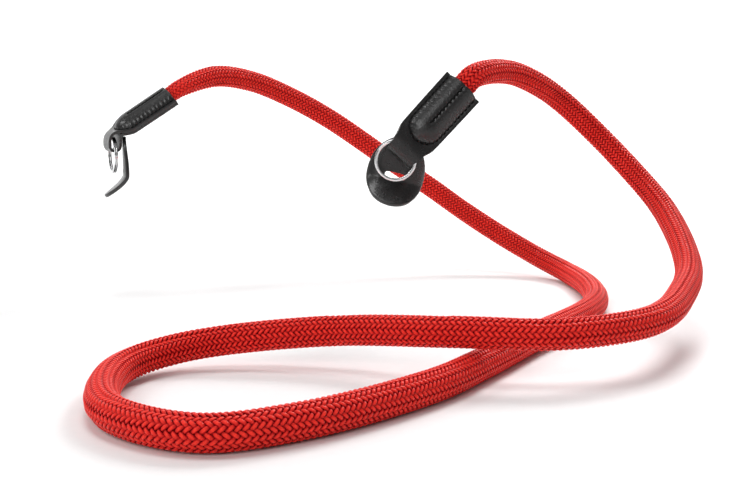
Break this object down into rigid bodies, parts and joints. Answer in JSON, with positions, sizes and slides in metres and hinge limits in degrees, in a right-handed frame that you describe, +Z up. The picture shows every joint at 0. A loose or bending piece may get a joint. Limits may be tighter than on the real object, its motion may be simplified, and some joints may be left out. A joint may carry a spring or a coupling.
{
  "type": "camera neck strap",
  "caption": "Neck strap of round braided red rope with folded black leather ends, each on a split ring with a loose leather pad behind it.",
  "frame": {"origin": "the slot of the right pad, where the strap hangs on its holder", "axes": "+X to the right and +Z up as the strap is seen from the front, +Y away from the viewer; the rope lies on a level surface 57.6 mm below the origin"},
  "size_m": [0.2483, 0.3219, 0.1042],
  "materials": {
    "braid": "braided red cord, soft and matt",
    "leather": "smooth black leather with a soft sheen",
    "steel": "bright plated steel wire"
  },
  "bodies": {
    "strap": {"rope": "braid", "tab_left": "leather", "tab_right": "leather", "pad_left": "leather", "pad_right": "leather"},
    "ring_left": {"ring_left": "steel"},
    "ring_right": {"ring_right": "steel"}
  },
  "joints": [
    {"name": "ring_left_turn", "type": "hinge", "parent": "strap", "child": "ring_left", "pos_m": [-0.1258, 0.0622, 0.0056], "axis": [-0.9135, -0.4067, 0], "continuous": true},
    {"name": "ring_right_turn", "type": "hinge", "parent": "strap", "child": "ring_right", "pos_m": [0, -0.0042, 0.0062], "axis": [0, -1, 0], "continuous": true}
  ]
}
